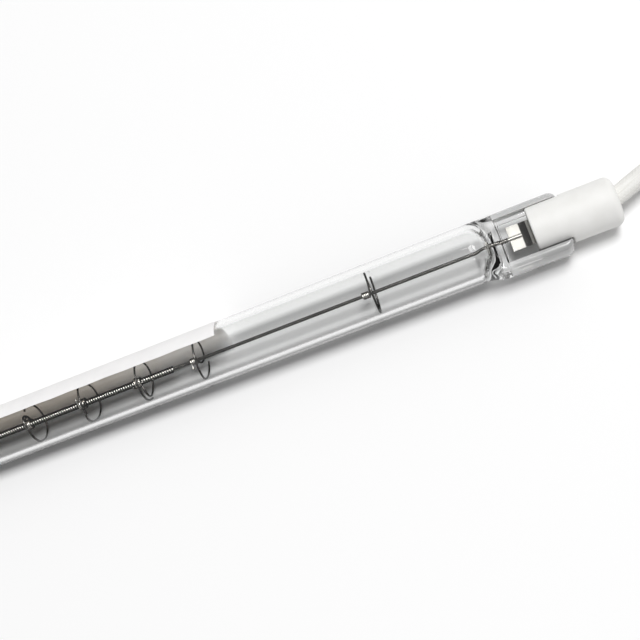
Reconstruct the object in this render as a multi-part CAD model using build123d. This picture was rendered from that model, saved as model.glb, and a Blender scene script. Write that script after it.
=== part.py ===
from build123d import *
import os
from math import cos, pi, radians, sin, sqrt, tan

# Infrared heating lamp: a coiled filament in a quartz tube with pressed ends, ceramic caps and a lead.
# It lies along X with its middle at the origin, on the surface z = 0.
# The press seals lie flat, and the white reflector coating faces +Y.

# Driving dimensions of the tube and its press seals, in millimetres and degrees
overall_length = 300.0  # over the two ceramic caps
tube_diameter = 10.0
tube_wall = 1.1
tip_position = 104.0  # melted-off filling tip, from the middle of the lamp towards its left end
tip_diameter = 3.4
tip_height = 2.4
tip_round = 1.3
shoulder_length = 3.8  # where the round tube flattens into the seal
dome_reach = 2.1  # how far the bore runs into the shoulder
dome_radius = 2.4
round_flats = 2  # flats that a rounded end is drawn with
seal_flat_length = 11.2
seal_width = 10.1
seal_thickness = 4.4
seal_corner = 0.7
seal_end_radius = 1.6
seal_offset = -0.4  # the pressed seal sits a little off the axis of the tube
rail_width = 1.35
web_thickness = 2.4
pocket_inset = 0.4
pocket_corner = 0.8
pocket_draft = 12.0

# Filament, reflector coating and the metal sealed into the glass
cold_length = 54.6  # unheated tube, from the shoulder to the end of the coil
coat_overhang = 9.9  # reflector coating past the end of the coil
coat_half_angle = 77.0
coat_thickness = 0.1
coil_wire = 0.3
coil_fit = 0.03
lead_diameter = 0.6
lead_grip = 5.0  # how far the rod is screwed into the coil
wrap_wire = 0.14
wrap_back = 0.4  # how far the wire wrap reaches into the bore
wrap_gap = 0.2
foil_inset = 1.9
foil_length = 7.5
foil_width = 4.3
foil_thickness = 0.06
weld_length = 2.1
weld_flat = 0.1  # how deep the rods are flattened onto the foil
outer_lead_diameter = 0.8

# Wire supports that keep the coil and the rods central
coil_supports = 13
coil_support_inset = 6.9  # first support, from the end of the coil
lead_support_places = (3.9, 35.6)  # supports on each rod, from the end of the coil
support_wire = 0.3
support_turn = 68.0  # each support is turned this much from the one before it
clinch_length = 1.05
ring_shift = 1.15  # from the middle of the clinch to the ring, along the lamp
clinch_sides = 8  # flats that the round turns of the clinch are drawn with
ring_clearance = 0.25
ring_sides = 9  # flats that the round wire of the ring is drawn with
ring_opening = 1.2  # gap between the leg and the free end of the ring

# Ceramic caps and the lead
cap_length = 14.0
cap_diameter = 8.1
cap_end_radius = 1.2
jaw_taper = 0.12  # the jaws narrow by this much towards the front
cap_overlap = 5.5  # how far the press seal reaches into the cap
cement_thickness = 0.2
rail_clearance = 0.15
crimp_gap = 0.1
crimp_length = 3.0
crimp_diameter = 2.4  # over the corners of its six pressed flats
crimp_clearance = 0.3
core_diameter = 1.5
cable_diameter = 3.2
cable_sides = 12  # flats that the round lead is drawn with
cable_clearance = 0.3
mouth_flare = 0.4
mouth_length = 1.4
tinned_length = 8.0

# Radii, and places along the right-hand half of the lamp
tube_radius = tube_diameter / 2
axis_height = tube_radius
bore_radius = tube_radius - tube_wall
cap_radius = cap_diameter / 2
jaw_radius = cap_radius - jaw_taper
cap_outer_x = overall_length / 2
cap_front_x = cap_outer_x - cap_length
seal_end_x = cap_front_x + cap_overlap
seal_start_x = seal_end_x - seal_flat_length
shoulder_x = seal_start_x - shoulder_length
bore_end_x = shoulder_x + dome_reach
coil_end_x = shoulder_x - cold_length
coat_end_x = coil_end_x + coat_overhang
pocket_half_width = seal_width / 2 - rail_width
jaw_half_width = pocket_half_width - rail_clearance
slot_half_height = web_thickness / 2 + cement_thickness
slot_end_x = seal_end_x + cement_thickness

lead_radius = lead_diameter / 2
coil_inner_radius = lead_radius + coil_fit
coil_outer_radius = coil_inner_radius + coil_wire
foil_start_x = seal_start_x + foil_inset
foil_end_x = foil_start_x + foil_length
foil_top = weld_flat - lead_radius
outer_lead_radius = outer_lead_diameter / 2
core_radius = core_diameter / 2
cable_radius = cable_diameter / 2
cable_bore_radius = cable_radius + cable_clearance
crimp_start_x = slot_end_x + crimp_gap
crimp_step_x = crimp_start_x + crimp_length / 2
crimp_end_x = crimp_start_x + crimp_length
cable_start_x = crimp_end_x + crimp_gap

# Route of the lead: distance past the end of the cap, sideways, and height above the surface
lead_route = [
    (cable_start_x - cap_outer_x, 0.0, axis_height),
    (-2.4, 0.0, axis_height),
    (0.0, 0.45, 4.95),
    (3.6, 1.95, 4.7),
    (24.0, 10.0, 1.6),
    (62.0, 4.6, 1.6),
    (87.0, 4.6, 1.6),
]
arc_share = 0.45  # of the shorter run, taken up by each arc of the route


def across(x):
    """The plane across the lamp at x, with its own x along Y and its own y along Z."""
    return Plane(origin=(x, 0, 0), x_dir=(0, 1, 0), z_dir=(1, 0, 0))


def bar(radius, start, end):
    """A round bar on the axis of the lamp."""
    return extrude(across(start) * Circle(radius), amount=end - start)


def sleeve(inner_radius, outer_radius, start, end):
    """A round sleeve on the axis of the lamp."""
    return bar(outer_radius, start, end) - bar(inner_radius, start, end)


def block(x_range, y_range, z_range):
    """A block between two values on each axis."""
    ranges = (x_range, y_range, z_range)
    middle = [(low + high) / 2 for low, high in ranges]
    size = [high - low for low, high in ranges]
    return Pos(*middle) * Box(*size)


def turned(*outline):
    """The solid that a closed outline of (x, radius) points sweeps about the axis of the lamp."""
    return revolve(make_face(Polyline(*outline, close=True)), axis=Axis.X)


def rounded_end(end, side, corner):
    """The points, (along, out), of a rounded corner between a side and an end, drawn with flats."""
    angles = [pi / 2 * i / round_flats for i in range(round_flats + 1)]
    return [(end - corner + corner * sin(angle), side - corner + corner * cos(angle)) for angle in angles]


def pressed_end():
    """The right-hand press seal: a shoulder, then a flat with a rail along each side of a thin web."""
    round_section = across(shoulder_x) * Circle(tube_radius)
    flat_outline = RectangleRounded(seal_width, seal_thickness, seal_corner)
    flat_section = across(seal_start_x) * Pos(seal_offset, 0) * flat_outline
    shoulder = loft([round_section, flat_section])

    plan_length = seal_flat_length + 2 * seal_end_radius
    plan_outline = RectangleRounded(plan_length, seal_width, seal_end_radius)
    plan = Pos(seal_end_x - plan_length / 2, seal_offset) * plan_outline
    flat = extrude(flat_section, amount=seal_flat_length)
    flat = flat & extrude(plan, amount=seal_thickness, both=True)

    pocket_start_x = seal_start_x + pocket_inset
    pocket_length = seal_end_x - pocket_start_x + seal_end_radius
    pocket_outline = RectangleRounded(pocket_length, 2 * pocket_half_width, pocket_corner)
    pocket_place = Pos(pocket_start_x + pocket_length / 2, seal_offset, web_thickness / 2)
    pocket = extrude(pocket_place * pocket_outline, amount=seal_thickness, taper=-pocket_draft)
    return shoulder + flat - pocket - mirror(pocket, about=Plane.XY)


def filling_tip():
    """The nipple left where the filling tube was melted off, on the uncoated left part of the tube."""
    tip_radius = tip_diameter / 2
    top = tube_radius + tip_height
    nipple = turned((0, 0), (0, tip_radius), *rounded_end(top, tip_radius, tip_round), (top, 0))
    return Pos(-tip_position, 0, 0) * Rot(0, -90, 0) * nipple


def quartz_tube(embedded):
    """The sealed tube, with room for the metal that is embedded in each end."""
    right_end = pressed_end()
    body = bar(tube_radius, -shoulder_x, shoulder_x) + filling_tip()
    body = body + right_end + mirror(right_end, about=Plane.YZ)
    dome = rounded_end(bore_end_x, bore_radius, dome_radius)
    half_bore = turned((0, 0), (0, bore_radius), *dome, (bore_end_x, 0))
    body = body - half_bore - mirror(half_bore, about=Plane.YZ)
    for piece in embedded:
        body = body - piece - mirror(piece, about=Plane.YZ)
    return body


def reflector_coating():
    """The white ceramic coating, a thin shell over the back of the tube."""
    strip = Pos(0, tube_radius + coat_thickness / 2) * Rectangle(2 * coat_end_x, coat_thickness)
    shell = revolve(strip, axis=Axis.X, revolution_arc=2 * coat_half_angle)
    return Rot(-coat_half_angle, 0, 0) * shell


def filament_coil():
    """The tungsten coil, as the sleeve that its close turns fill."""
    return sleeve(coil_inner_radius, coil_outer_radius, -coil_end_x, coil_end_x)


def under_the_weld(rod_diameter, start, end):
    """What is pressed off a rod where it lies on the foil."""
    return block((start, end), (-rod_diameter, rod_diameter), (foil_top - rod_diameter, foil_top))


def inner_lead():
    """The rod from the coil to the foil, flattened where it is welded on."""
    weld_end_x = foil_start_x + weld_length
    rod = bar(lead_radius, coil_end_x - lead_grip, weld_end_x)
    return rod - under_the_weld(lead_diameter, foil_start_x, weld_end_x)


def lead_wrap():
    """The fine wire wound round the rod where it enters the seal."""
    return sleeve(lead_radius, lead_radius + wrap_wire, bore_end_x - wrap_back, foil_start_x - wrap_gap)


def seal_foil():
    """The molybdenum foil that carries the current through the glass."""
    half_width = foil_width / 2
    return block((foil_start_x, foil_end_x), (-half_width, half_width), (foil_top - foil_thickness, foil_top))


def outer_lead():
    """The rod from the foil to the crimp, flattened where it is welded on."""
    weld_start_x = foil_end_x - weld_length
    rod = bar(outer_lead_radius, weld_start_x, crimp_step_x)
    return rod - under_the_weld(outer_lead_diameter, weld_start_x, foil_end_x)


def support(x, carrier_radius, turn):
    """A wire support: turns clinched on the carrier, a leg, and a ring that keeps it central in the bore."""
    half_wire = support_wire / 2
    ring_radius = bore_radius - ring_clearance - half_wire
    ring_x = x + ring_shift
    clinch_start = x - clinch_length / 2
    clinch_hole = RegularPolygon(carrier_radius, clinch_sides, major_radius=False)
    clinch_outline = RegularPolygon(carrier_radius + support_wire, clinch_sides) - clinch_hole
    clinch = extrude(across(clinch_start) * clinch_outline, amount=clinch_length)

    ring_outline = RegularPolygon(ring_radius + half_wire, ring_sides)
    ring_outline = ring_outline - RegularPolygon(ring_radius - half_wire, ring_sides)
    ring_gap = Pos(ring_radius, support_wire + ring_opening / 2) * Rectangle(bore_radius, ring_opening)
    ring = extrude(across(ring_x - half_wire) * (ring_outline - ring_gap), amount=support_wire)

    clinch_end = clinch_start + clinch_length
    foot_y = carrier_radius + half_wire
    leg_outline = Polyline(
        (clinch_end - support_wire, foot_y),
        (clinch_end, foot_y),
        (ring_x + half_wire, ring_radius),
        (ring_x - half_wire, ring_radius),
        close=True,
    )
    leg = extrude(make_face(leg_outline), amount=half_wire, both=True)
    return Rot(turn, 0, 0) * (clinch + leg + ring)


def ceramic_cap():
    """The right-hand cap: two jaws either side of the web, and a stepped bore for the crimp and the lead."""
    cap = turned(
        (cap_front_x, 0),
        (cap_front_x, jaw_radius),
        (slot_end_x, cap_radius),
        *rounded_end(cap_outer_x, cap_radius, cap_end_radius),
        (cap_outer_x, 0),
    )

    open_x = (cap_front_x - cap_length, slot_end_x)
    rail_z = seal_thickness / 2 + rail_clearance
    slot = block(open_x, (-cap_diameter, cap_diameter), (-slot_half_height, slot_half_height))
    far_relief = block(open_x, (seal_offset + jaw_half_width, cap_diameter), (-rail_z, rail_z))
    near_relief = block(open_x, (-cap_diameter, seal_offset - jaw_half_width), (-rail_z, rail_z))
    crimp_bore = bar(crimp_diameter / 2 + crimp_clearance, slot_end_x, cable_start_x)
    cable_bore = turned(
        (cable_start_x, 0),
        (cable_start_x, cable_bore_radius),
        (cap_outer_x - mouth_length, cable_bore_radius),
        (cap_outer_x, cable_bore_radius + mouth_flare),
        (cap_outer_x, 0),
    )
    return cap - slot - far_relief - near_relief - crimp_bore - cable_bore


def cap_cement():
    """The cement bed that fills the slot of the cap round the web."""
    jaw_edge_y = sqrt(jaw_radius**2 - slot_half_height**2)
    near_y = max(seal_offset - jaw_half_width, -jaw_edge_y)
    far_y = min(seal_offset + jaw_half_width, jaw_edge_y)
    bed = block((cap_front_x, slot_end_x), (near_y, far_y), (-slot_half_height, slot_half_height))
    web = block((shoulder_x, seal_end_x), (-seal_width, seal_width), (-web_thickness / 2, web_thickness / 2))
    return bed - web - bar(outer_lead_radius, shoulder_x, cap_outer_x)


def crimp_sleeve():
    """The six-sided barrel that joins the outer rod to the strands of the lead."""
    barrel = extrude(across(crimp_start_x) * RegularPolygon(crimp_diameter / 2, 6), amount=crimp_length)
    rod_hole = bar(outer_lead_radius, crimp_start_x, crimp_step_x)
    return barrel - rod_hole - bar(core_radius, crimp_step_x, crimp_end_x)


def route_points():
    """The points of the lead's route, measured from the middle of the lamp's axis."""
    return [Vector(cap_outer_x + x, y, z - axis_height) for x, y, z in lead_route]


def route_radii(points):
    """The arc at each corner of the route, as large as its two runs allow."""
    radii = []
    for before, here, after in zip(points, points[1:], points[2:]):
        turn = (here - before).get_angle(after - here)
        shorter = min((here - before).length, (after - here).length)
        radii.append(arc_share * shorter / tan(radians(turn / 2)))
    return radii


def lead_wire():
    """The insulated lead, along straight runs joined by arcs."""
    points = route_points()
    path = FilletPolyline(*points, radius=route_radii(points))
    start = Plane(origin=points[0], z_dir=points[1] - points[0])
    section = RegularPolygon(cable_radius, cable_sides)
    wire = sweep(start * section, path=path)
    print("lead: length", round(path.length, 1), "arcs", [round(radius, 1) for radius in route_radii(points)])
    print("lead: volume over section times length", wire.volume / (section.area * path.length))
    return wire


def lead_core():
    """The bare strands of the lead in the crimp."""
    return bar(core_radius, crimp_step_x, cable_start_x)


def lead_tip():
    """The stripped and tinned end of the lead."""
    points = route_points()
    end = Plane(origin=points[-1], z_dir=points[-1] - points[-2])
    return extrude(end * Circle(core_radius), amount=tinned_length)


def save(name, solid):
    """Lifts a solid to the height at which the lamp rests, and writes it."""
    export_step(Pos(0, 0, axis_height) * solid, os.path.join("parts", name + ".step"))


def save_both(name, solid):
    """Writes a piece of the right-hand end, and its mirror image at the left-hand end."""
    save(name + "_right", solid)
    save(name + "_left", mirror(solid, about=Plane.YZ))


def save_supports():
    """Writes the supports, in order from left to right."""
    span = 2 * (coil_end_x - coil_support_inset)
    pitch = span / (coil_supports - 1)
    on_coil = [(i * pitch - span / 2, coil_outer_radius) for i in range(coil_supports)]
    on_leads = [(side * (coil_end_x + place), lead_radius) for side in (-1, 1) for place in lead_support_places]
    for i, (x, carrier_radius) in enumerate(sorted(on_coil + on_leads)):
        save(f"filament_support_{i + 1:02d}", support(x, carrier_radius, i * support_turn))


os.makedirs("parts", exist_ok=True)
embedded_pieces = {
    "inner_lead": inner_lead(),
    "lead_wrap": lead_wrap(),
    "seal_foil": seal_foil(),
    "outer_lead": outer_lead(),
}
save("quartz_tube", quartz_tube(embedded_pieces.values()))
save("reflector_coating", reflector_coating())
save("filament_coil", filament_coil())
for name, solid in embedded_pieces.items():
    save_both(name, solid)
save_both("ceramic_cap", ceramic_cap())
save_both("cap_cement", cap_cement())
save_both("crimp_sleeve", crimp_sleeve())
save("lead_core", lead_core())
save("lead_wire", lead_wire())
save("lead_tip", lead_tip())
save_supports()
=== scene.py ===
"""Looks of an infrared heating lamp: quartz tube, coiled filament, press seals, ceramic caps and a lead.

Lengths are worked out in millimetres, in the frame of the solids, and written to the meshes in metres.
The lamp lies along X on the floor z = 0, with its reflector coating towards +Y.
"""

import bpy
import numpy as np
from mathutils import Matrix


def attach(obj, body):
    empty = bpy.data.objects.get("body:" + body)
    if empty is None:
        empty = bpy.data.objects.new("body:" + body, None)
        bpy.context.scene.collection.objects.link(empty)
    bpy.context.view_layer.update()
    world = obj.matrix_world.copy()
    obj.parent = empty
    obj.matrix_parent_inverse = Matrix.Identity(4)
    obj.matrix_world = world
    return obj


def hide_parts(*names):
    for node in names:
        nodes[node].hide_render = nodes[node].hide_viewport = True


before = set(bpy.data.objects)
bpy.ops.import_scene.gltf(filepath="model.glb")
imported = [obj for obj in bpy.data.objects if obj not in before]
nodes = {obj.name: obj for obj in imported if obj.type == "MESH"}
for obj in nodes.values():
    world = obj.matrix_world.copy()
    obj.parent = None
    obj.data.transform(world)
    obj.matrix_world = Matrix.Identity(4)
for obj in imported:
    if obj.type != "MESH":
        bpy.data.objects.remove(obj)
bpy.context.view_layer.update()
BODY = "root"
MM = 0.001
TURN = 2.0 * np.pi
ALONG = np.array([1.0, 0.0, 0.0])
UP = np.array([0.0, 0.0, 1.0])

# Sizes of the lamp, in millimetres
TUBE_RADIUS = 5.0
BORE_RADIUS = 3.9
BORE_END_X = 128.6
BORE_DOME = 2.8
AXIS_HEIGHT = 5.0
SHOULDER_X = 126.5
SEAL_START_X = 130.3
SEAL_END_X = 141.5
SEAL_HALF_WIDTH = 5.05
SEAL_HALF_HEIGHT = 2.2
SEAL_CORNER = 0.7
SEAL_END_RADIUS = 1.6
SEAL_OFFSET = -0.4
WEB_HALF_HEIGHT = 1.2
POCKET_START_X = 130.7
POCKET_RAMP = 0.35
POCKET_WALL = 3.7
POCKET_DRAFT = 0.21
RAIL_FADES = 0.1
RAIL_FULL = 1.0
TIP_X = -104.0
TIP_RADIUS = 1.9
TIP_HEIGHT = 2.4
TIP_SPAN = 2.2
COAT_END_X = 81.8
COAT_HALF_ANGLE = np.radians(77.0)
COAT_THICKNESS = 0.1
COAT_GAP = 0.006
COAT_TAPER = 0.8
COIL_END_X = 71.9
COIL_PITCH = 0.45
COIL_RADIUS = 0.46
COIL_WIRE_RADIUS = 0.165
ROD_RADIUS = 0.3
WRAP_RADIUS = 0.07
WRAP_PITCH = 0.3
WRAP_RANGE = (128.2, 132.0)
STEPS_PER_TURN = 18
FOIL_RANGE = (132.2, 139.7)
FOIL_HALF_WIDTH = 2.15
FOIL_TOP = -0.2
FOIL_THICKNESS = 0.06
FOIL_WAVE = 0.006
WELD_LENGTH = 2.1
DARK_BAND_LENGTH = 1.2
CAP_FRONT_X = 136.0
CAP_STEP_X = 141.7
CAP_END_X = 150.0
CAP_RADIUS = 4.05
CAP_END_RADIUS = 1.2
CAP_FRONT_EDGE = 0.3
SLOT_HALF_HEIGHT = 1.4
NOTCH_CLEARANCE = 0.15
JAW_HALF_WIDTH = 3.55
CRIMP_BORE = 1.5
CABLE_BORE = 1.9
CABLE_BORE_X = 144.9
MOUTH_RADIUS = 2.3
MOUTH_LENGTH = 1.4
CABLE_RADIUS = 1.6
CORE_RADIUS = 0.75
TINNED_LENGTH = 8.0

# Outline of the seal: shares of a quarter at which its side, its corner, the rail's top and the wall end
SIDE_ENDS = 0.22
CORNER_ENDS = 0.42
LEDGE_ENDS = 0.54
WALL_ENDS = 0.70

# Support wires: places along the lamp, turns about it and lengths along it
COIL_SUPPORTS_X = np.linspace(-65.0, 65.0, 13)
ROD_SUPPORTS_X = np.array([-107.5, -75.8, 75.8, 107.5])
SUPPORT_WIRE_RADIUS = 0.17
SUPPORT_TURN = np.radians(68.0)
TAIL_TURN = 0.12
TAIL_REACH = 0.8
CLINCH_TURNS = 4.0
CLINCH_START = -0.75
CLINCH_LENGTH = 1.2
LEG_TURN = 0.16
LEG_LENGTH = 0.4
RING_RADIUS = 3.5
RING_TURN = 0.93
RING_DRIFT = 0.6
RING_LEAN = 0.10
LEAN_STEP = 1.2

# Route of the lead, as in the solids: distance past the cap's end, sideways, height
LEAD_ROUTE = [
    (-5.1, 0.0, 5.0),
    (-2.4, 0.0, 5.0),
    (0.0, 0.45, 4.95),
    (3.6, 1.95, 4.7),
    (24.0, 10.0, 1.6),
    (62.0, 4.6, 1.6),
    (87.0, 4.6, 1.6),
]

# Edges sharper than these angles, in degrees, stay sharp
SHARP_EDGE = 50.0
CAP_SHARP_EDGE = 40.0

# Most values of a noise texture fall between these two
NOISE_LOW = 0.3
NOISE_HIGH = 0.7

# Shares of light that the glass passes for shadows: by its turn from the ray, at its front, where coated
GLASS_PASSES = [(0.0, 0.98), (0.2, 0.94), (0.42, 0.75), (0.7, 0.5)]
FRONT_PASSES = 0.45
FRONT_RANGE = (-4.0, -2.0)
COATED_PASSES = 0.8
COATED_RANGE = (0.6 * COAT_END_X, COAT_END_X)

# Floor and camera in millimetres, lights in metres
FLOOR_HALF_WIDTH = 3000.0
KEY_SIZE = 0.55
KEY_ENERGY = 17.5
KEY_AIM = np.array([0.1, 0.0, 0.0])
KEY_TOWARD = np.array([0.27, 0.09, 1.0])
KEY_DISTANCE = 1.5
SKY_STRENGTH = 0.34
SKY_STOPS = [(0.0, (0.30, 0.30, 0.31, 1.0)), (0.55, (1.0, 1.0, 1.0, 1.0))]
CAMERA_SWING = np.radians(11.0)
CAMERA_HEIGHT = np.radians(70.0)
CAMERA_ROLL = np.radians(20.9)
CAMERA_DISTANCE = 174.0
CAMERA_LENS = 58.7
CAMERA_SENSOR = 36.0
CAMERA_TARGET_X = 98.6
CAMERA_SHIFT = 1.08


# Meshes from arrays

def rise(value, start, end):
    """A straight rise from 0 at the start to 1 at the end, level beyond them."""
    return np.clip((value - start) / (end - start), 0.0, 1.0)


def ease(value, start, end):
    """The same rise t, eased at both ends by the curve 3t^2 - 2t^3."""
    t = rise(value, start, end)
    return t * t * (3.0 - 2.0 * t)


def round_angles(sides):
    """Angles spread evenly over one turn."""
    return np.linspace(0.0, TURN, sides, endpoint=False)


def grid_points(x, y, z):
    """One row of x, y and z for each point, from arrays that spread to one shape."""
    return np.stack(np.broadcast_arrays(x, y, z), axis=-1).reshape(-1, 3)


def polar_points(x, radius, angle):
    """Points (x, r cos a, r sin a) about the lamp's axis."""
    return grid_points(x, radius * np.cos(angle), radius * np.sin(angle))


def grid_faces(rows, columns, wrap_rows=False, wrap_columns=False):
    """Quads between neighbours of a rows by columns grid, joined up at the last row or column if asked."""
    i = np.arange(rows if wrap_rows else rows - 1)
    j = np.arange(columns if wrap_columns else columns - 1)
    i, j = np.meshgrid(i, j, indexing="ij")
    i_next = (i + 1) % rows
    j_next = (j + 1) % columns
    quads = [i * columns + j, i_next * columns + j, i_next * columns + j_next, i * columns + j_next]
    return np.stack([q.ravel() for q in quads], axis=1)


def lidded(points, faces, ring, centre, flip):
    """Adds a fan of triangles from a centre point to a closed ring of vertex numbers."""
    hub = len(points)
    points = np.vstack([points, centre])
    after = np.roll(ring, -1)
    if flip:
        ring, after = after, ring
    fan = np.stack([ring, after, np.full(len(ring), hub)], axis=1)
    return points, faces + [fan]


def closed_ends(points, faces, columns, first, last, flip=True):
    """Closes the first and the last ring of a grid by fans to two centre points."""
    ring = np.arange(columns)
    last_ring = ring + len(points) - columns
    points, faces = lidded(points, faces, ring, first, flip)
    return lidded(points, faces, last_ring, last, not flip)


def closed_ribbon(skins, rows, columns):
    """Two skins of one grid, joined along all four edges."""
    quads = grid_faces(rows, columns)
    count = rows * columns
    edge = np.concatenate([
        np.arange(columns),
        np.arange(1, rows) * columns + columns - 1,
        (rows - 1) * columns + np.arange(columns - 2, -1, -1),
        np.arange(rows - 2, 0, -1) * columns,
    ])
    after = np.roll(edge, -1)
    rim = np.stack([edge, after, after + count, edge + count], axis=1)
    return np.vstack(skins), [quads, quads[:, ::-1] + count, rim[:, ::-1]]


def tube_along(path, radius, sides, reference):
    """A round tube: at each path point P, the ring P + r (cos a N + sin a B).

    N is the part of the reference direction that is square to the path, and B is square to both. Each end is
    closed by a low dome: a smaller ring a little further on, then a fan to the middle.
    """
    dome_step = 0.25
    dome_ring = 0.7
    middle_step = 0.3
    tangent = np.gradient(path, axis=0)
    tangent /= np.linalg.norm(tangent, axis=1, keepdims=True)
    radius = np.broadcast_to(np.asarray(radius, float), len(path))
    first = tangent[0] * radius[0] * dome_step
    last = tangent[-1] * radius[-1] * dome_step
    path = np.vstack([path[0] - first, path, path[-1] + last])
    tangent = np.vstack([tangent[0], tangent, tangent[-1]])
    radius = np.concatenate([[dome_ring * radius[0]], radius, [dome_ring * radius[-1]]])
    normal = reference - (tangent @ reference)[:, None] * tangent
    normal /= np.linalg.norm(normal, axis=1, keepdims=True)
    binormal = np.cross(tangent, normal)
    angle = round_angles(sides)[None, :, None]
    spoke = np.cos(angle) * normal[:, None] + np.sin(angle) * binormal[:, None]
    points = (path[:, None] + radius[:, None, None] * spoke).reshape(-1, 3)
    faces = [grid_faces(len(path), sides, wrap_columns=True)[:, ::-1]]
    return closed_ends(points, faces, sides, path[0] - first * middle_step, path[-1] + last * middle_step)


def joined(shells):
    """One list of points and of faces from several shells."""
    points, faces, base = [], [], 0
    for shell_points, shell_faces in shells:
        points.append(shell_points)
        faces += [face + base for face in shell_faces]
        base += len(shell_points)
    return np.vstack(points), faces


def mirrored(shell, axis=0):
    """The mirror image of a shell: one coordinate changes sign and each face is wound the other way."""
    points, faces = shell
    signs = np.ones(3)
    signs[axis] = -1.0
    return points * signs, [face[:, ::-1] for face in faces]


def make_mesh(name, shell, sharp_degrees=None, uv=None):
    """A mesh from points in millimetres measured from the lamp's axis, and arrays of faces."""
    points, faces = shell
    points = (points + AXIS_HEIGHT * UP) * MM
    mesh = bpy.data.meshes.new(name)
    sizes = np.concatenate([np.full(len(face), face.shape[1]) for face in faces])
    corners = np.concatenate([face.ravel() for face in faces])
    mesh.vertices.add(len(points))
    mesh.vertices.foreach_set("co", points.astype(np.float32).ravel())
    mesh.loops.add(len(corners))
    mesh.loops.foreach_set("vertex_index", corners.astype(np.int32))
    mesh.polygons.add(len(sizes))
    starts = np.concatenate([[0], np.cumsum(sizes)[:-1]])
    mesh.polygons.foreach_set("loop_start", starts.astype(np.int32))
    mesh.polygons.foreach_set("use_smooth", np.ones(len(sizes), bool))
    mesh.update(calc_edges=True)
    mesh.validate()
    if uv is not None:
        layer = mesh.uv_layers.new(name="along")
        places = uv[corners]
        highest = np.repeat(np.maximum.reduceat(places[:, 1], starts), sizes)
        period = uv[:, 1].max()
        places[:, 1] += np.where(highest - places[:, 1] > 0.5 * period, period, 0.0)
        layer.data.foreach_set("uv", places.astype(np.float32).ravel())
    if sharp_degrees:
        mesh.set_sharp_from_angle(angle=np.radians(sharp_degrees))
    return mesh


def add_piece(name, shell, material, replaced, sharp_degrees=None, uv=None):
    """A finished piece that rides on the lamp and stands for the named solids."""
    piece = bpy.data.objects.new(name, make_mesh(name, shell, sharp_degrees, uv))
    bpy.context.scene.collection.objects.link(piece)
    piece.data.materials.append(material)
    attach(piece, BODY)
    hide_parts(*replaced)
    return piece


# Shader nodes

def grey(level):
    """A grey as red, green and blue."""
    return (level, level, level)


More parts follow.
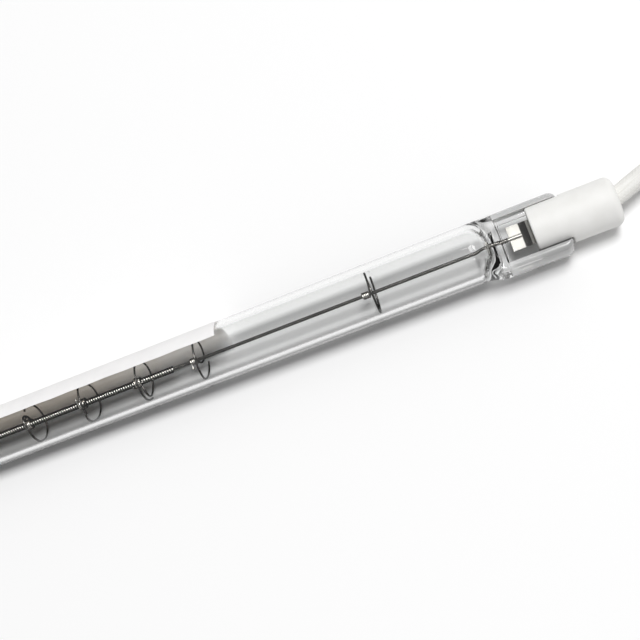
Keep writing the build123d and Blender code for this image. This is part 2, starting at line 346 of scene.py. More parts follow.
class Finish:
    """A material with a Principled shader and short ways to add the nodes behind it."""

    def __init__(self, name, roughness, metallic=0.0):
        self.material = bpy.data.materials.new(name)
        self.material.use_nodes = True
        self.tree = self.material.node_tree
        self.tree.nodes.clear()
        self.output = self.node("ShaderNodeOutputMaterial")
        self.shader = self.node("ShaderNodeBsdfPrincipled", Roughness=roughness, Metallic=metallic)
        self.link(self.shader.outputs["BSDF"], self.output.inputs["Surface"])
        self.place = self.node("ShaderNodeTexCoord").outputs["Object"]

    def node(self, kind, **values):
        """A new node with some of its input sockets set."""
        new = self.tree.nodes.new(kind)
        for socket, value in values.items():
            new.inputs[socket].default_value = value
        return new

    def link(self, source, target):
        self.tree.links.new(source, target)

    def stretched(self, scale):
        """Object coordinates times a scale on each axis."""
        mapping = self.node("ShaderNodeMapping", Scale=scale)
        self.link(self.place, mapping.inputs["Vector"])
        return mapping.outputs["Vector"]

    def noise(self, scale, detail=3.0, vector=None):
        """Noise over the object, or over another vector."""
        texture = self.node("ShaderNodeTexNoise", Scale=scale, Detail=detail)
        self.link(vector or self.place, texture.inputs["Vector"])
        return texture.outputs["Fac"]

    def ramp(self, value, stops):
        """Colours, as (position, rgb), over a value."""
        node = self.node("ShaderNodeValToRGB")
        elements = node.color_ramp.elements
        while len(elements) < len(stops):
            elements.new(0.5)
        for element, (position, colour) in zip(elements, stops):
            element.position = position
            element.color = (*colour, 1.0)
        self.link(value, node.inputs["Fac"])
        return node.outputs["Color"]

    def maths(self, operation, *values):
        """What a Math node makes of one or two values."""
        node = self.node("ShaderNodeMath")
        node.operation = operation
        for socket, value in zip(node.inputs, values):
            self.link(value, socket)
        return node.outputs["Value"]

    def ranged(self, value, **limits):
        """A value carried from one range to another, 0 to 1 where no limits are given."""
        node = self.node("ShaderNodeMapRange", **limits)
        self.link(value, node.inputs["Value"])
        return node.outputs["Result"]

    def spread(self, value, low, high):
        """A value from 0 to 1 carried over to another range."""
        return self.ranged(value, **{"To Min": low, "To Max": high})

    def between(self, value, start, end):
        """From 0 to 1 while a length in metres passes between two lengths in millimetres."""
        return self.ranged(value, **{"From Min": start * MM, "From Max": end * MM})

    def coordinate(self, axis):
        """One of the object's own coordinates."""
        split = self.node("ShaderNodeSeparateXYZ")
        self.link(self.place, split.inputs["Vector"])
        return split.outputs[axis]

    def lengthwise(self, start, end):
        """From 0 to 1 between two distances from the lamp's middle, along the lamp, the same at both ends."""
        return self.between(self.maths("ABSOLUTE", self.coordinate("X")), start, end)

    def crosswise(self, start, end):
        """From 0 to 1 between two distances from the lamp's axis, from its clear front to its coated back."""
        return self.between(self.coordinate("Y"), start, end)

    def outward(self, start, end):
        """From 0 to 1 between two distances from the lamp's axis, all round it."""
        centred = self.node("ShaderNodeVectorMath")
        centred.operation = "MULTIPLY_ADD"
        centred.inputs[1].default_value = (0.0, 1.0, 1.0)
        centred.inputs[2].default_value = (0.0, 0.0, -AXIS_HEIGHT * MM)
        self.link(self.place, centred.inputs[0])
        length = self.node("ShaderNodeVectorMath")
        length.operation = "LENGTH"
        self.link(centred.outputs["Vector"], length.inputs[0])
        return self.between(length.outputs["Value"], start, end)

    def turned_away(self):
        """From 0 where the surface faces the ray that meets it to 1 where the ray only grazes it."""
        return self.node("ShaderNodeLayerWeight", Blend=0.5).outputs["Facing"]

    def tinted(self, source, value, stops):
        """A colour times a tint that goes with a value, as in a ramp.

        The Mix node has its two colours on inputs 6 and 7, and the mixed colour on output 2.
        """
        node = self.node("ShaderNodeMix")
        node.data_type = "RGBA"
        node.blend_type = "MULTIPLY"
        node.inputs["Factor"].default_value = 1.0
        self.link(source, node.inputs[6])
        self.link(self.ramp(value, stops), node.inputs[7])
        return node.outputs[2]

    def colour(self, source):
        self.link(source, self.shader.inputs["Base Color"])

    def roughness(self, source):
        self.link(source, self.shader.inputs["Roughness"])

    def bump(self, height, depth_mm, strength=1.0):
        """Bump of a depth in millimetres."""
        node = self.node("ShaderNodeBump", Strength=strength, Distance=depth_mm * MM)
        self.link(height, node.inputs["Height"])
        self.link(node.outputs["Normal"], self.shader.inputs["Normal"])


def grained(name, dark, light, grain, roughness, metallic=0.0, stretch=(1.0, 1.0, 1.0), depth_mm=0.0):
    """A finish whose colour and roughness follow one noise, stretched along the way it was worked."""
    finish = Finish(name, sum(roughness) / 2.0, metallic)
    tone = finish.noise(grain, 4.0, finish.stretched(stretch))
    finish.colour(finish.ramp(tone, [(NOISE_LOW, dark), (NOISE_HIGH, light)]))
    finish.roughness(finish.spread(tone, *roughness))
    if depth_mm:
        finish.bump(finish.noise(3.0 * grain, 2.0, finish.stretched(stretch)), depth_mm)
    return finish


def quartz_glass(name, clear, roughness):
    """Glass of which a share is clear and the rest whitened, slightly uneven in tone along its drawing lines.

    Light for what lies behind it goes straight through where the glass faces it, and less so towards grazing
    angles, as round glass turns light aside near its edges. Less goes through at the front than at the back,
    and some is lost along the coated stretch, most in its middle.
    """
    finish = Finish(name, roughness)
    finish.shader.inputs["IOR"].default_value = 1.46
    finish.shader.inputs["Transmission Weight"].default_value = clear
    lines = finish.noise(420.0, 2.0, finish.stretched((0.04, 1.0, 1.0)))
    finish.colour(finish.ramp(lines, [(NOISE_LOW, (0.97, 0.975, 0.97)), (NOISE_HIGH, (0.99, 0.992, 0.99))]))

    shares = finish.ramp(finish.turned_away(), [(at, grey(clear * share)) for at, share in GLASS_PASSES])
    for place, share in (
        (finish.crosswise(*FRONT_RANGE), FRONT_PASSES),
        (finish.lengthwise(*COATED_RANGE), COATED_PASSES),
    ):
        shares = finish.tinted(shares, place, [(0.0, grey(share)), (1.0, grey(1.0))])
    passing = finish.node("ShaderNodeBsdfTransparent")
    finish.link(shares, passing.inputs["Color"])

    path = finish.node("ShaderNodeLightPath")
    surface = finish.shader.outputs["BSDF"]
    for ray in ("Is Shadow Ray", "Is Diffuse Ray"):
        mix = finish.node("ShaderNodeMixShader")
        finish.link(path.outputs[ray], mix.inputs["Fac"])
        finish.link(surface, mix.inputs[1])
        finish.link(passing.outputs["BSDF"], mix.inputs[2])
        surface = mix.outputs["Shader"]
    finish.link(surface, finish.output.inputs["Surface"])
    return finish.material


def reflector_white():
    """Baked white ceramic: fine grit, slightly uneven in tone."""
    finish = grained("reflector_white", (0.88, 0.87, 0.87), (0.93, 0.92, 0.915), 260.0, (0.6, 0.75))
    finish.bump(finish.noise(9000.0, 2.0), 0.01)
    return finish.material


def reflector_inside():
    """The coating as the quartz shows it from within: a little mottled, with painted shade that darkens it
    towards the lamp's middle, and warm where light comes through it.
    """
    finish = Finish("reflector_inside", 0.6)
    mottle = finish.noise(180.0)
    # Painted shade: darker towards the lamp's middle, lighter towards the coating's ends where light comes in
    # from the open tube
    painted_shade_along = [(0.1, (0.36, 0.34, 0.3)), (0.6, (0.45, 0.42, 0.38)), (1.0, (0.97, 0.94, 0.9))]
    tone = finish.ramp(finish.lengthwise(0.0, COAT_END_X), painted_shade_along)
    finish.colour(finish.tinted(tone, mottle, [(NOISE_LOW, grey(0.9)), (NOISE_HIGH, grey(1.0))]))
    finish.shader.inputs["Subsurface Weight"].default_value = 1.0
    finish.shader.inputs["Subsurface Radius"].default_value = (1.0, 0.93, 0.87)
    finish.shader.inputs["Subsurface Scale"].default_value = 6.0 * COAT_THICKNESS * MM
    return finish.material


def steatite():
    """Pressed white ceramic with a fine grit."""
    finish = grained("steatite", (0.84, 0.835, 0.81), (0.89, 0.885, 0.865), 350.0, (0.5, 0.65))
    finish.bump(finish.noise(5200.0, 3.0), 0.018)
    return finish.material


def sealed_foil():
    """Rolled foil: bright where the rods are welded on, dark in a narrow band between the welds."""
    finish = Finish("sealed_foil", 0.4, 0.6)
    rolling = finish.noise(2500.0, 3.0, finish.stretched((1.0, 0.08, 1.0)))
    start, end = FOIL_RANGE
    dark_band_from = WELD_LENGTH / (end - start)
    dark_band_to = dark_band_from + DARK_BAND_LENGTH / (end - start)
    bright = (0.5, 0.49, 0.46)
    dark = (0.012, 0.011, 0.01)
    blur = 0.01
    bands = [
        (dark_band_from - blur, bright),
        (dark_band_from + blur, dark),
        (dark_band_to - blur, dark),
        (dark_band_to + blur, bright),
    ]
    finish.colour(finish.ramp(finish.lengthwise(start, end), bands))
    finish.roughness(finish.spread(rolling, 0.45, 0.6))
    finish.bump(rolling, 0.01)
    return finish.material


def coiled_tungsten():
    """Drawn wire, dark, with painted highlights: a bright crest on each turn and a glint where it faces the
    ray, and painted shade in the valleys between turns and on its flanks.
    """
    finish = Finish("tungsten_wire", 0.3, 1.0)
    finish.shader.inputs["Specular Tint"].default_value = (0.1, 0.1, 0.1, 1.0)
    crest = finish.outward(COIL_RADIUS, COIL_RADIUS + COIL_WIRE_RADIUS)
    # Painted highlight on the outer crest of each turn, painted shade in the valleys between turns
    painted_crest_highlight = finish.ramp(crest, [(0.6, (0.03, 0.028, 0.025)), (0.8, (0.95, 0.92, 0.87))])
    # Painted glint where the wire faces the ray, painted shade where it turns away
    painted_glint = [(0.03, grey(1.0)), (0.12, (0.02, 0.018, 0.016))]
    finish.colour(finish.tinted(painted_crest_highlight, finish.turned_away(), painted_glint))
    return finish.material


def bent_support():
    """Support wire with a painted highlight that makes the clinch bright, darker out on the ring, and a
    painted glint where it faces the ray, with painted shade where it turns away.
    """
    finish = Finish("support_wire", 0.25, 1.0)
    finish.shader.inputs["Specular Tint"].default_value = (0.3, 0.3, 0.3, 1.0)
    grain = finish.noise(1500.0)
    # Painted highlight: bright at the clinch, darker out on the ring
    clinch_highlight = finish.ramp(finish.outward(1.0, 1.8), [(0.0, (0.9, 0.87, 0.82)), (1.0, (0.1, 0.095, 0.09))])
    # Painted glint where the wire faces the ray, painted shade where it turns away
    painted_glint = [(0.1, grey(1.0)), (0.3, (0.08, 0.075, 0.07))]
    finish.colour(finish.tinted(clinch_highlight, finish.turned_away(), painted_glint))
    finish.roughness(finish.spread(grain, 0.2, 0.3))
    return finish.material


def rod_finish():
    """Drawn molybdenum: dark in the tube, bright where it is flattened and welded on the foil."""
    finish = Finish("molybdenum_rod", 0.3, 1.0)
    grain = finish.noise(900.0, 4.0, finish.stretched((0.15, 1.0, 1.0)))
    weld = finish.lengthwise(FOIL_RANGE[0] - 0.3, FOIL_RANGE[0])
    tone = finish.ramp(weld, [(0.0, (0.1, 0.097, 0.092)), (1.0, (0.5, 0.49, 0.46))])
    finish.colour(finish.tinted(tone, grain, [(NOISE_LOW, grey(0.7)), (NOISE_HIGH, grey(1.0))]))
    finish.roughness(finish.spread(grain, 0.25, 0.38))
    finish.bump(grain, 0.004)
    return finish.material


def braided_sleeve():
    """A white glass-fibre sleeve: fine crossed yarns and lengthwise fibres, on its own length and turn."""
    finish = Finish("braided_sleeve", 0.8)
    uv = finish.node("ShaderNodeUVMap")
    uv.uv_map = "along"
    yarns = []
    for slant in (0.62, -0.62):
        mapping = finish.node("ShaderNodeMapping", Rotation=(0.0, 0.0, slant))
        finish.link(uv.outputs["UV"], mapping.inputs["Vector"])
        wave = finish.node("ShaderNodeTexWave", Scale=0.62, Distortion=1.2, Detail=2.0)
        finish.link(mapping.outputs["Vector"], wave.inputs["Vector"])
        yarns.append(wave.outputs["Fac"])
    fibres = finish.node("ShaderNodeMapping", Scale=(0.12, 2.6, 1.0))
    finish.link(uv.outputs["UV"], fibres.inputs["Vector"])
    fuzz = finish.noise(1.6, 3.0, fibres.outputs["Vector"])
    finish.colour(finish.ramp(fuzz, [(NOISE_LOW, (0.76, 0.75, 0.71)), (0.65, (0.88, 0.875, 0.85))]))
    finish.bump(finish.maths("ADD", finish.maths("MAXIMUM", *yarns), fuzz), 0.05)
    finish.shader.inputs["Sheen Weight"].default_value = 0.15
    return finish.material


# Quartz tube

def seal_sections(x, loop):
    """Outlines across the lamp: a circle that flattens into a bar, then a bar with a pocket in each face.

    Each quarter of the outline runs from the side (loop 0) to the top (loop 1): the straight side, a quarter
    round, then the top, whose height drops from the rail to the web across a narrow wall. The circle's angle
    is loop times 90 degrees, and the shoulder blends the two outlines with the ease curve. The rails fade out
    where the rounded end leaves them no width.
    """
    x = x[:, None]
    past = np.clip(x - (SEAL_END_X - SEAL_END_RADIUS), 0.0, SEAL_END_RADIUS)
    half_width = SEAL_HALF_WIDTH - SEAL_END_RADIUS + np.sqrt(SEAL_END_RADIUS**2 - past**2)
    rail = ease(half_width, POCKET_WALL + RAIL_FADES, POCKET_WALL + RAIL_FULL)
    half_height = WEB_HALF_HEIGHT + (SEAL_HALF_HEIGHT - WEB_HALF_HEIGHT) * rail
    corner = np.minimum(SEAL_CORNER, 0.45 * half_height)
    pocket = ease(x, POCKET_START_X, POCKET_START_X + POCKET_RAMP)

    side = rise(loop, 0.0, SIDE_ENDS)
    bend = rise(loop, SIDE_ENDS, CORNER_ENDS) * np.pi / 2.0
    ledge = rise(loop, CORNER_ENDS, LEDGE_ENDS)
    wall = rise(loop, LEDGE_ENDS, WALL_ENDS)
    web = rise(loop, WALL_ENDS, 1.0)

    wall_top = np.minimum(POCKET_WALL + POCKET_DRAFT, half_width - corner - 0.02)
    wall_foot = np.minimum(POCKET_WALL, wall_top - 0.05)
    y = half_width - corner + corner * np.cos(bend)
    y = y + (wall_top - (half_width - corner)) * ledge
    y = y + (wall_foot - wall_top) * wall
    y = y - wall_foot * web
    z = (half_height - corner) * side + corner * np.sin(bend)
    z = z - (half_height - WEB_HALF_HEIGHT) * pocket * ease(wall, 0.0, 1.0)

    angle = loop * np.pi / 2.0
    blend = ease(x, SHOULDER_X, SEAL_START_X)
    y_round = TUBE_RADIUS * np.cos(angle)
    z_round = TUBE_RADIUS * np.sin(angle)
    return y_round + (y - y_round) * blend, z_round + (z - z_round) * blend, blend * SEAL_OFFSET


def quartz_outside():
    """The outer skin: a quarter outline mirrored into four, carried along the lamp, with the filling tip.

    The tip raises the top by its height times (1/2 + 1/2 cos(pi d / R))^0.6, d being the distance from it.
    """
    rounding_x = SEAL_END_X - SEAL_END_RADIUS
    right = np.concatenate([
        np.linspace(SHOULDER_X, POCKET_START_X + 0.4, 40),
        [POCKET_START_X + 0.6, rounding_x],
        rounding_x + SEAL_END_RADIUS * np.sin(np.linspace(0.1, np.pi / 2.0, 14)),
    ])
    tip = np.linspace(TIP_X - TIP_SPAN, TIP_X + TIP_SPAN, 33)
    x = np.concatenate([-right[::-1], tip, right])

    knots = [0.0, SIDE_ENDS, CORNER_ENDS, LEDGE_ENDS, WALL_ENDS, 1.0]
    counts = [8, 12, 6, 14, 20]
    runs = [np.linspace(a, b, n, endpoint=False) for a, b, n in zip(knots, knots[1:], counts)]
    loop = np.concatenate(runs + [[1.0]])
    y, z, offset = seal_sections(np.abs(x), loop[None, :])
    loop_y = np.concatenate([y, -y[:, -2::-1], -y[:, 1:], y[:, -2:0:-1]], axis=1) + offset
    loop_z = np.concatenate([z, z[:, -2::-1], -z[:, 1:], -z[:, -2:0:-1]], axis=1)

    distance = np.hypot(x[:, None] - TIP_X, loop_y)
    bump = (0.5 + 0.5 * np.cos(np.pi * rise(distance, 0.0, TIP_RADIUS))) ** 0.6
    loop_z = loop_z + np.where(loop_z > 0.0, TIP_HEIGHT * bump, 0.0)

    columns = loop_y.shape[1]
    points = grid_points(x[:, None], loop_y, loop_z)
    faces = [grid_faces(len(x), columns, wrap_columns=True)[:, ::-1]]
    half = columns // 2
    top = np.arange(half + 1)
    under = (columns - top) % columns
    strip = np.stack([top[:-1], top[1:], under[1:], under[:-1]], axis=1)[1:-1]
    corners = np.array([[top[0], top[1], under[1]], [top[half - 1], top[half], under[half - 1]]])
    for row, flip in ((0, True), (len(x) - 1, False)):
        for patch in (strip, corners):
            end = patch + row * columns
            faces.append(end[:, ::-1] if flip else end)
    return points, faces


def quartz_bore():
    """The bore: a cylinder that narrows at each end into a flattened dome.

    Along the dome the angle a goes from 0 to 90 degrees: x goes with sin a, the width with cos(a)^0.6 and the
    height with cos(a)^0.9, so the end is pressed flat like the outside.
    """
    a = np.linspace(0.0, np.pi / 2.0, 22)[:-1]
    x = BORE_END_X - BORE_DOME + BORE_DOME * np.sin(a)
    x = np.concatenate([-x[::-1], x])
    a = np.concatenate([a[::-1], a])
    wide = np.cos(a) ** 0.6 * BORE_RADIUS
    high = np.cos(a) ** 0.9 * BORE_RADIUS
    sides = 144
    angle = round_angles(sides)
    points = grid_points(x[:, None], wide[:, None] * np.cos(angle), high[:, None] * np.sin(angle))
    faces = [grid_faces(len(x), sides, wrap_columns=True)]
    return closed_ends(points, faces, sides, -BORE_END_X * ALONG, BORE_END_X * ALONG, False)


# Reflector coating

def reflector_shell():
    """A curved strip over the back of the tube, as two skins of radius, angle about the lamp and length.

    Towards its edges the outer radius falls to the glass, and the long edges wander by a few hundredths.
    """
    slack = 0.012
    slack_angle = 0.012
    edge_thickness = 0.002
    end = COAT_END_X - np.linspace(0.0, COAT_TAPER, 7)
    x = np.concatenate([-end, np.linspace(-end[-1], end[-1], 170)[1:-1], end[::-1]])[:, None]
    share = np.linspace(-1.0, 1.0, 61)[None, :]
    wander = 0.006 * np.sin(0.9 * x) + 0.004 * np.sin(0.37 * x + 1.0)
    angle = share * (COAT_HALF_ANGLE - slack_angle + wander)
    edge = ease(1.0 - np.abs(share), 0.0, 0.03) * ease(COAT_END_X - np.abs(x), 0.0, COAT_TAPER)
    inner = TUBE_RADIUS + COAT_GAP
    outer = inner + edge_thickness + (COAT_THICKNESS - slack) * edge
    return [polar_points(x, outer, angle), polar_points(x, inner, angle)], x.size, share.size


# Filament, supports and sealed metal

def coil_shell():
    """The filament: a wire on a helix, its middle line x = p a / 2 pi, r (cos a, sin a), with p the pitch."""
    turns = 2.0 * (COIL_END_X - COIL_WIRE_RADIUS) / COIL_PITCH
    angle = np.linspace(-np.pi * turns, np.pi * turns, int(turns * STEPS_PER_TURN))
    path = polar_points(angle * COIL_PITCH / TURN, COIL_RADIUS, angle)
    return tube_along(path, COIL_WIRE_RADIUS, 8, ALONG)


def wrap_shell():
    """Fine wire on a helix round the rod where it enters the seal."""
    start, end = WRAP_RANGE
    length = end - start - 2.0 * WRAP_RADIUS
    turns = length / WRAP_PITCH
    share = np.linspace(0.0, 1.0, int(turns * STEPS_PER_TURN))
    path = polar_points(start + WRAP_RADIUS + share * length, ROD_RADIUS + WRAP_RADIUS, TURN * turns * share)
    return tube_along(path, WRAP_RADIUS, 6, ALONG)


def support_shell(x, carrier_radius, turn, number):
    """One support wire: turns clinched on the carrier, a leg that swings out, and a ring inside the bore.

    In polar form about the lamp: a short tail comes in to the clinch, the clinch holds its radius while it
    turns four times, the leg eases from that radius to the ring's over a sixth of a turn, and the ring goes
    nearly once round while it drifts along the lamp. The ring leans by a few degrees, a different way on each
    support.
    """
    clinch = carrier_radius + SUPPORT_WIRE_RADIUS
    tail = np.linspace(0.0, 1.0, 6)[:-1]
    held = np.linspace(0.0, 1.0, 80)
    leg = np.linspace(0.0, 1.0, 26)[1:]
    around = np.linspace(0.0, 1.0, 80)[1:]
    ring_from = CLINCH_TURNS + LEG_TURN
    turns = np.concatenate([
        TAIL_TURN * (tail - 1.0),
        CLINCH_TURNS * held,
        CLINCH_TURNS + LEG_TURN * leg,
        ring_from + RING_TURN * around,
    ])
    radius = np.concatenate([
        clinch + TAIL_REACH * (1.0 - tail) ** 2,
        np.full(len(held), clinch),
        clinch + (RING_RADIUS - clinch) * ease(leg, 0.0, 1.0),
        np.full(len(around), RING_RADIUS),
    ])
    leg_start = CLINCH_START + CLINCH_LENGTH
    leg_end = leg_start + LEG_LENGTH
    along = np.concatenate([
        np.full(len(tail), CLINCH_START),
        CLINCH_START + CLINCH_LENGTH * held,
        leg_start + LEG_LENGTH * leg,
        leg_end + RING_DRIFT * around,
    ])
    angle = TURN * (turns - ring_from) + turn
    lean = RING_LEAN * np.sin(angle - LEAN_STEP * number) * radius * rise(along, leg_start, leg_end)
    return tube_along(polar_points(x + along + lean, radius, angle), SUPPORT_WIRE_RADIUS, 8, ALONG)


def foil_shell():
    """The foil as a thin rolled sheet: its height waves by a few thousandths, and its edges are feathered."""
    x = np.linspace(*FOIL_RANGE, 40)[:, None]
    y = np.linspace(-1.0, 1.0, 17)[None, :]
    middle = FOIL_TOP - FOIL_THICKNESS / 2.0 + FOIL_WAVE * np.sin(2.1 * x) * np.cos(1.5 * y)
    half = FOIL_THICKNESS / 2.0 * np.sqrt(np.clip(1.0 - np.abs(y) ** 8, 0.0, 1.0))
    skins = [grid_points(x, FOIL_HALF_WIDTH * y, height) for height in (middle + half, middle - half)]
    return closed_ribbon(skins, x.size, y.size)


# Caps

def cap_body():
    """The round part of the cap: one closed outline of (x, radius) points swept once about the lamp."""
    rounding_x = CAP_END_X - CAP_END_RADIUS
    rounding_r = CAP_RADIUS - CAP_END_RADIUS
    quarter = np.linspace(0.0, np.pi / 2.0, 10)
    turn_x = rounding_x + CAP_END_RADIUS * np.sin(quarter)
    turn_r = rounding_r + CAP_END_RADIUS * np.cos(quarter)
    lip = np.linspace(0.0, 1.0, 9)
    mouth_x = CAP_END_X - MOUTH_LENGTH * lip
    mouth_r = CABLE_BORE + (MOUTH_RADIUS - CABLE_BORE) * (1.0 - lip) ** 2
    outline = np.vstack([
        [(CAP_STEP_X, CRIMP_BORE), (CAP_STEP_X, CAP_RADIUS)],
        [(CAP_STEP_X + 2.0, CAP_RADIUS), (rounding_x - 0.4, CAP_RADIUS)],
        np.column_stack([turn_x, turn_r]),
        np.column_stack([mouth_x, mouth_r]),
        [(CABLE_BORE_X, CABLE_BORE), (CABLE_BORE_X, CRIMP_BORE)],
    ])
    sides = 96
    points = polar_points(outline[:, :1], outline[:, 1:], round_angles(sides))
    return points, [grid_faces(len(outline), sides, wrap_rows=True, wrap_columns=True)[:, ::-1]]


def cap_jaw():
    """The upper jaw: the round segment above the slot, from the cap's front into it, notched at the far rail.

    Its outline is the chord at the slot and the arc over it. At the front it shrinks towards a point inside
    it, by the quarter round of an edge.
    """
    inside_z = 2.4
    mean_reach = 2.6
    reach = np.sqrt(CAP_RADIUS**2 - SLOT_HALF_HEIGHT**2)
    near_y = max(-reach, SEAL_OFFSET - JAW_HALF_WIDTH)
    far_y = min(reach, SEAL_OFFSET + JAW_HALF_WIDTH)
    inside_y = (near_y + far_y) / 2.0
    notch_z = SEAL_HALF_HEIGHT + NOTCH_CLEARANCE
    arc_from = np.arcsin(notch_z / CAP_RADIUS)
    arc_to = np.pi - np.arcsin(SLOT_HALF_HEIGHT / CAP_RADIUS)
    arc = np.linspace(arc_from, arc_to, 44)
    radius = CAP_RADIUS - 0.02
    chord_y = np.linspace(near_y, far_y, 24)[1:-1]
    chord_z = np.full(len(chord_y), SLOT_HALF_HEIGHT)
    y = np.concatenate([[far_y, far_y], radius * np.cos(arc), chord_y])
    z = np.concatenate([[SLOT_HALF_HEIGHT, notch_z], radius * np.sin(arc), chord_z])

    a = np.linspace(0.0, np.pi / 2.0, 6)[::-1]
    front_x = CAP_FRONT_X + CAP_FRONT_EDGE * (1.0 - np.sin(a))
    x = np.concatenate([front_x, [CAP_STEP_X - 1.0, CAP_STEP_X + 0.2]])
    inset = np.concatenate([CAP_FRONT_EDGE * (1.0 - np.cos(a)), [0.0, 0.0]])
    shrink = (1.0 - inset / mean_reach)[:, None]
    points = grid_points(x[:, None], inside_y + (y - inside_y) * shrink, inside_z + (z - inside_z) * shrink)
    faces = [grid_faces(len(x), len(y), wrap_columns=True)[:, ::-1]]
    return closed_ends(points, faces, len(y), [x[0], inside_y, inside_z], [x[-1], inside_y, inside_z])


# Lead

def lead_line():
    """The smooth line of the lead: a quadratic spline with the route's points as its control points."""
    curve = bpy.data.curves.new("lead_line", "CURVE")
    curve.dimensions = "3D"
    curve.resolution_u = 24
    spline = curve.splines.new("NURBS")
    spline.points.add(len(LEAD_ROUTE) - 1)
    for point, (x, y, z) in zip(spline.points, LEAD_ROUTE):
        point.co = ((CAP_END_X + x) * MM, y * MM, z * MM, 1.0)
    spline.order_u = 3
    spline.use_endpoint_u = True
    holder = bpy.data.objects.new("lead_line", curve)
    mesh = bpy.data.meshes.new_from_object(holder)
    line = np.empty(3 * len(mesh.vertices))
    mesh.vertices.foreach_get("co", line)
    bpy.data.objects.remove(holder)
    bpy.data.curves.remove(curve)
    bpy.data.meshes.remove(mesh)
    return line.reshape(-1, 3) / MM - AXIS_HEIGHT * UP


def sleeve_shell(line):
    """The insulating sleeve: a tube along the lead that swells and thins slightly, frayed in at its end."""
    slack = 0.03
    swell = 0.02
    fray = 0.25
    fray_length = 0.5
    step = np.linalg.norm(np.diff(line, axis=0), axis=1)
    length = np.concatenate([[0.0], np.cumsum(step)])
    even = np.linspace(0.0, length[-1], 420)
    path = np.stack([np.interp(even, length, line[:, i]) for i in range(3)], axis=1)
    radius = CABLE_RADIUS - slack + swell * np.sin(1.7 * even) * np.sin(0.43 * even)
    radius = radius - fray * ease(even, even[-1] - fray_length, even[-1])
    sides = 40
    shell = tube_along(path, radius, sides, UP)
    turn = np.tile(np.arange(sides) / sides * TURN * CABLE_RADIUS, len(path) + 2)
    run = np.repeat(np.concatenate([[even[0]], even, [even[-1]]]), sides)
    uv = np.stack([np.concatenate([run, [0.0, even[-1]]]), np.concatenate([turn, [0.0, 0.0]])], axis=1)
    return shell, uv, even[-1], path


def strand_shells(line):
    """The stripped end: one straight strand and six on a helix round it, each closed with a low dome."""
    hidden = 0.5
    short_of_end = 0.1
    lay_turns = 0.8
    spacing = 1.98
    tangent = line[-1] - line[-4]
    tangent /= np.linalg.norm(tangent)
    start = line[-1] - tangent * hidden
    strand = CORE_RADIUS / 3.0
    share = np.linspace(0.0, 1.0, 50)
    middle = start + np.outer(share * (TINNED_LENGTH + hidden - short_of_end), tangent)
    across = np.cross(UP, tangent)
    shells = [tube_along(middle, strand, 10, UP)]
    for place in range(6):
        angle = TURN * (place / 6.0 + lay_turns * share)
        path = middle + spacing * strand * (np.outer(np.cos(angle), across) + np.outer(np.sin(angle), UP))
        shells.append(tube_along(path, strand, 10, UP))
    return shells


# Finishes

clear_quartz = quartz_glass("clear_quartz", 1.0, 0.0)
pressed_quartz = quartz_glass("pressed_quartz", 0.62, 0.15)
tungsten = coiled_tungsten()
molybdenum = rod_finish()
support_wire = bent_support()
cement = grained("cement", (0.8, 0.79, 0.76), (0.9, 0.89, 0.87), 1400.0, (0.8, 0.95), depth_mm=0.04).material
nickel = grained(
    "nickel", (0.5, 0.49, 0.46), (0.66, 0.65, 0.61), 1100.0, (0.25, 0.4), 1.0, (0.2, 1.0, 1.0), 0.006
).material
tinned = grained("tinned_strand", grey(0.55), grey(0.75), 1300.0, (0.22, 0.4), 1.0).material
cap_ceramic = steatite()
foil_finish = sealed_foil()
sleeve_finish = braided_sleeve()

# Quartz, with its rails in the pressed finish

glass_shell = joined([quartz_outside(), quartz_bore()])
glass = add_piece("quartz", glass_shell, clear_quartz, ["quartz_tube"], SHARP_EDGE)
glass.data.materials.append(pressed_quartz)
centres = np.empty(3 * len(glass.data.polygons))
glass.data.polygons.foreach_get("center", centres)
along, across = np.abs(centres.reshape(-1, 3)[:, :2] / MM - np.array([0.0, SEAL_OFFSET])).T
rails = (along > POCKET_START_X) & (across > POCKET_WALL)
glass.data.polygons.foreach_set("material_index", rails.astype(np.int32))

# Coating, with its inner skin in a finish of its own

coat_skins, coat_rows, coat_columns = reflector_shell()
coat_points, coat_faces = closed_ribbon(coat_skins, coat_rows, coat_columns)
coat_shell = (coat_points, [face[:, ::-1] for face in coat_faces])
coat_finish = reflector_white()
coat = add_piece("coating", coat_shell, coat_finish, ["reflector_coating"], SHARP_EDGE)
coat.data.materials.append(reflector_inside())
skin_faces = (coat_rows - 1) * (coat_columns - 1)
inside = np.zeros(len(coat.data.polygons), np.int32)
inside[skin_faces:2 * skin_faces] = 1
coat.data.polygons.foreach_set("material_index", inside)

# Metal inside the glass

add_piece("filament", coil_shell(), tungsten, ["filament_coil"])
add_piece("wrap_right", wrap_shell(), support_wire, ["lead_wrap_right"])
add_piece("wrap_left", mirrored(wrap_shell()), support_wire, ["lead_wrap_left"])
add_piece("foil_right", foil_shell(), foil_finish, ["seal_foil_right"])
add_piece("foil_left", mirrored(foil_shell()), foil_finish, ["seal_foil_left"])

carriers = [(x, COIL_RADIUS + COIL_WIRE_RADIUS) for x in COIL_SUPPORTS_X]
carriers += [(x, ROD_RADIUS) for x in ROD_SUPPORTS_X]
for number, (x, carrier) in enumerate(sorted(carriers)):
    shell = support_shell(x, carrier, number * SUPPORT_TURN, number)
    name = f"support_{number + 1:02d}"
    add_piece(name, shell, support_wire, [f"filament_support_{number + 1:02d}"])

# Caps and lead

jaw = cap_jaw()
cap_shell = joined([cap_body(), jaw, mirrored(jaw, 2)])
add_piece("cap_right", cap_shell, cap_ceramic, ["ceramic_cap_right"], CAP_SHARP_EDGE)
add_piece("cap_left", mirrored(cap_shell), cap_ceramic, ["ceramic_cap_left"], CAP_SHARP_EDGE)

line = lead_line()
sleeve, sleeve_uv, sleeve_length, sleeve_path = sleeve_shell(line)
lead = add_piece("lead", sleeve, sleeve_finish, ["lead_wire"], None, sleeve_uv)
strands = add_piece("lead_strands", joined(strand_shells(line)), tinned, ["lead_tip"])

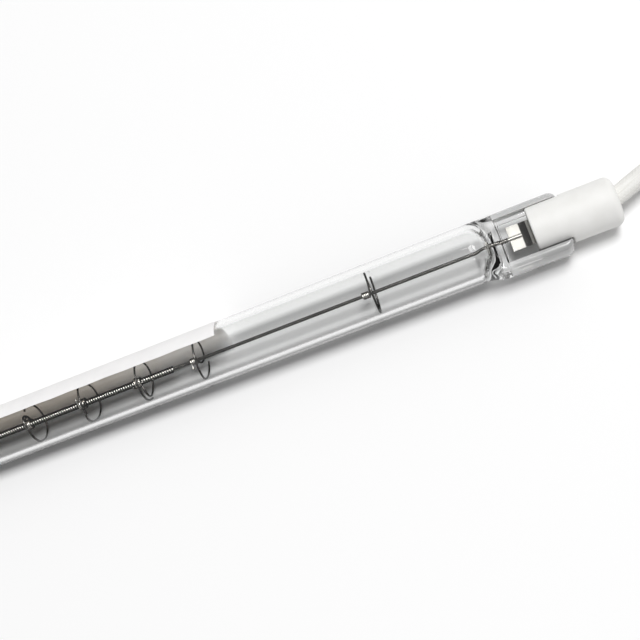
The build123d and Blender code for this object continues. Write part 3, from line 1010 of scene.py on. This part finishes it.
# Finishes on the solids that are shown as they are

for names, material in (
    (("inner_lead_left", "inner_lead_right", "outer_lead_left", "outer_lead_right"), molybdenum),
    (("cap_cement_left", "cap_cement_right"), cement),
    (("crimp_sleeve_left", "crimp_sleeve_right"), nickel),
    (("lead_core",), tinned),
):
    for name in names:
        nodes[name].data.materials.clear()
        nodes[name].data.materials.append(material)

# Floor, light and camera

def floor():
    """A wide flat floor, white and matt."""
    x = FLOOR_HALF_WIDTH * np.array([-1.0, 1.0, 1.0, -1.0])
    y = FLOOR_HALF_WIDTH * np.array([-1.0, -1.0, 1.0, 1.0])
    shell = (grid_points(x, y, -AXIS_HEIGHT), [np.array([[0, 1, 2, 3]])])
    plane = bpy.data.objects.new("floor", make_mesh("floor", shell))
    bpy.context.scene.collection.objects.link(plane)
    finish = Finish("floor_white", 0.9)
    finish.shader.inputs["Base Color"].default_value = (0.95, 0.95, 0.95, 1.0)
    finish.shader.inputs["Specular IOR Level"].default_value = 0.0
    plane.data.materials.append(finish.material)


def facing(place, back, up=UP):
    """A matrix at a place, its own z along back and its own y as near to up as that allows."""
    back = back / np.linalg.norm(back)
    right = np.cross(up, back)
    right /= np.linalg.norm(right)
    matrix = np.identity(4)
    matrix[:3, 0] = right
    matrix[:3, 1] = np.cross(back, right)
    matrix[:3, 2] = back
    matrix[:3, 3] = place
    return Matrix(matrix.tolist())


def soft_light():
    """A large light above the lamp, a little towards its lead, and a pale sky that darkens to the horizon."""
    data = bpy.data.lights.new("key", "AREA")
    data.shape = "SQUARE"
    data.size = KEY_SIZE
    data.energy = KEY_ENERGY
    key = bpy.data.objects.new("key", data)
    bpy.context.scene.collection.objects.link(key)
    toward = KEY_TOWARD / np.linalg.norm(KEY_TOWARD)
    key.matrix_world = facing(KEY_AIM + KEY_DISTANCE * toward, toward)

    world = bpy.data.worlds.new("studio")
    bpy.context.scene.world = world
    world.use_nodes = True
    tree = world.node_tree
    tree.nodes.clear()
    place = tree.nodes.new("ShaderNodeTexCoord")
    split = tree.nodes.new("ShaderNodeSeparateXYZ")
    ramp = tree.nodes.new("ShaderNodeValToRGB")
    for element, (position, colour) in zip(ramp.color_ramp.elements, SKY_STOPS):
        element.position = position
        element.color = colour
    background = tree.nodes.new("ShaderNodeBackground")
    background.inputs["Strength"].default_value = SKY_STRENGTH
    output = tree.nodes.new("ShaderNodeOutputWorld")
    tree.links.new(place.outputs["Generated"], split.inputs["Vector"])
    tree.links.new(split.outputs["Z"], ramp.inputs["Fac"])
    tree.links.new(ramp.outputs["Color"], background.inputs["Color"])
    tree.links.new(background.outputs["Background"], output.inputs["Surface"])


def photo_camera():
    """The camera at the photograph's angle: above the lamp, on its clear side, a little towards the lead."""
    across_swing = np.cos(CAMERA_SWING)
    back = np.array([
        np.sin(CAMERA_SWING),
        -across_swing * np.cos(CAMERA_HEIGHT),
        across_swing * np.sin(CAMERA_HEIGHT),
    ])
    lengthwise = ALONG - back[0] * back
    lengthwise /= np.linalg.norm(lengthwise)
    crosswise = np.cross(back, lengthwise)
    up = np.sin(CAMERA_ROLL) * lengthwise + np.cos(CAMERA_ROLL) * crosswise
    target = CAMERA_TARGET_X * ALONG + AXIS_HEIGHT * UP - CAMERA_SHIFT * crosswise
    data = bpy.data.cameras.new("camera")
    data.lens = CAMERA_LENS
    data.sensor_width = CAMERA_SENSOR
    data.clip_start = 0.005
    camera = bpy.data.objects.new("camera", data)
    bpy.context.scene.collection.objects.link(camera)
    camera.matrix_world = facing((target + CAMERA_DISTANCE * back) * MM, back, up)
    bpy.context.scene.camera = camera


floor()
soft_light()
photo_camera()
bpy.context.scene.view_settings.view_transform = "Standard"

# Light that is caught in the glass needs many reflections to find its way out
light_paths = bpy.context.scene.cycles
light_paths.max_bounces = 32
light_paths.glossy_bounces = 24
light_paths.transmission_bounces = 24

bpy.context.view_layer.update()
